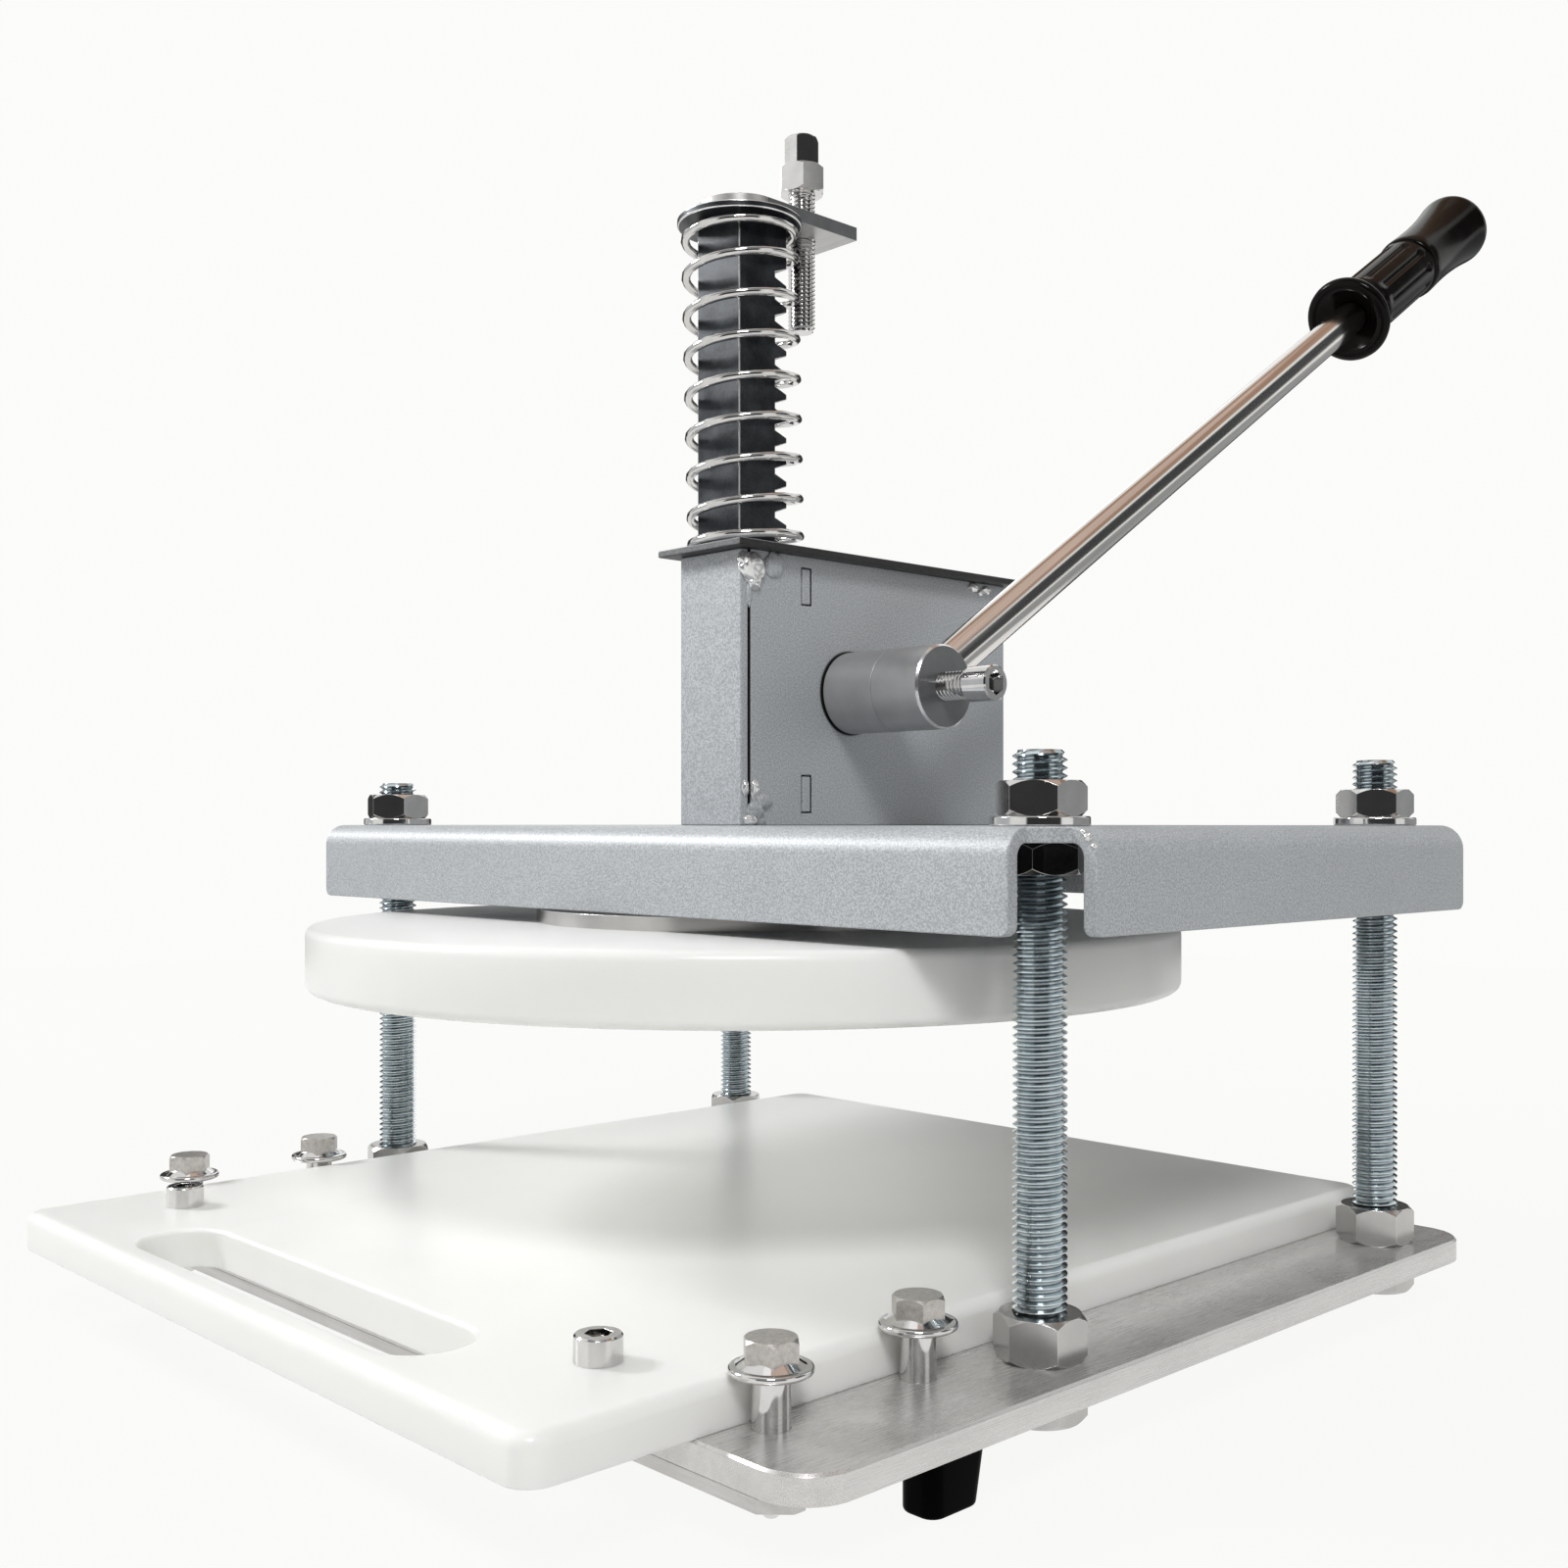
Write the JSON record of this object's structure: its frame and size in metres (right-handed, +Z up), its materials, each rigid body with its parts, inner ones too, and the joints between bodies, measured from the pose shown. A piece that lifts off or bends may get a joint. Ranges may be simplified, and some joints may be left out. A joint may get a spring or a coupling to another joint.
{
  "type": "dough press",
  "caption": "Hand press for dough rounds: a lever turns a pinion that drives a racked ram and its round white disc down onto a sliding board, and a spring lifts it again.",
  "frame": {"origin": "on the ram's axis, in the top face of the dough board, where the dough is laid", "axes": "+Z up along the ram, +Y away from the operator, +X to the operator's right, where the lever is"},
  "size_m": [0.3106, 0.5359, 0.3986],
  "materials": {
    "brushed_stainless": "brushed along its length, satin",
    "hammered_grey_paint": "silver-grey hammered paint, fine grain",
    "zinc_plated_steel": "bluish zinc, half gloss",
    "dark_steel": "black oxide, half gloss",
    "bright_screws": "bright plated",
    "spring_wire": "bright drawn wire",
    "polished_steel": "polished, turned",
    "bearing_bronze": "machined",
    "black_grip": "moulded, half gloss",
    "black_rubber": "moulded, half gloss",
    "white_polyethylene": "milled, satin"
  },
  "bodies": {
    "stand": {"base_plate": "brushed_stainless", "rubber_feet": "black_rubber", "foot_screws": "zinc_plated_steel", "threaded_rods": "zinc_plated_steel", "lower_rod_nuts": "zinc_plated_steel", "base_rod_nuts": "zinc_plated_steel", "under_frame_nuts": "dark_steel", "frame_washers": "zinc_plated_steel", "frame_top_nuts": "zinc_plated_steel", "guide_bolts": "bright_screws", "front_strip": "brushed_stainless", "top_frame": "hammered_grey_paint", "gearbox_right_plate": "hammered_grey_paint", "gearbox_left_plate": "hammered_grey_paint", "gearbox_front_plate": "hammered_grey_paint", "gearbox_back_plate": "hammered_grey_paint", "gearbox_cross_plates": "hammered_grey_paint", "gearbox_lid": "hammered_grey_paint", "rack_guide_pads": "bearing_bronze", "weld_spots": "hammered_grey_paint", "bearing_boss": "hammered_grey_paint", "shaft_bushings": "bearing_bronze", "return_spring": "spring_wire"},
    "ram": {"rack": "dark_steel", "rack_foot_screw": "dark_steel", "disc_flange_plate": "zinc_plated_steel", "disc_screws": "dark_steel", "press_disc": "white_polyethylene", "spring_seat_washer": "dark_steel", "rack_arm": "zinc_plated_steel", "rack_top_screw": "bright_screws"},
    "crank": {"lever_shaft": "polished_steel", "pinion": "dark_steel", "pinion_key": "dark_steel", "thrust_washer": "bearing_bronze", "shaft_circlip": "dark_steel", "lever_rod": "polished_steel", "lever_grip": "black_grip", "lever_clamp_screw": "bright_screws"},
    "board": {"dough_board": "white_polyethylene", "board_stop_screws": "bright_screws"},
    "depth_stop": {"depth_stop_screw": "bright_screws", "depth_stop_nut": "bright_screws"}
  },
  "joints": [
    {"name": "ram_stroke", "type": "slide", "parent": "stand", "child": "ram", "axis": [0, 0, -1], "range_m": [0, 0.0609], "stiffness_N_per_m": 1845, "springref_m": -0.01, "deforming": ["return_spring"]},
    {"name": "lever_turn", "type": "hinge", "parent": "stand", "child": "crank", "pos_m": [0, 0.0299, 0.145], "axis": [1, 0, 0], "range_deg": [0, 145.5]},
    {"name": "board_slide", "type": "slide", "parent": "stand", "child": "board", "axis": [0, -1, 0], "range_m": [0, 0.2]},
    {"name": "depth_stop_travel", "type": "slide", "parent": "ram", "child": "depth_stop", "axis": [0, 0, -1], "range_m": [-0.02, 0.0065]}
  ],
  "couplings": [
    {"joint": "lever_turn", "follows": "ram_stroke", "rad_per_m": 41.667}
  ]
}
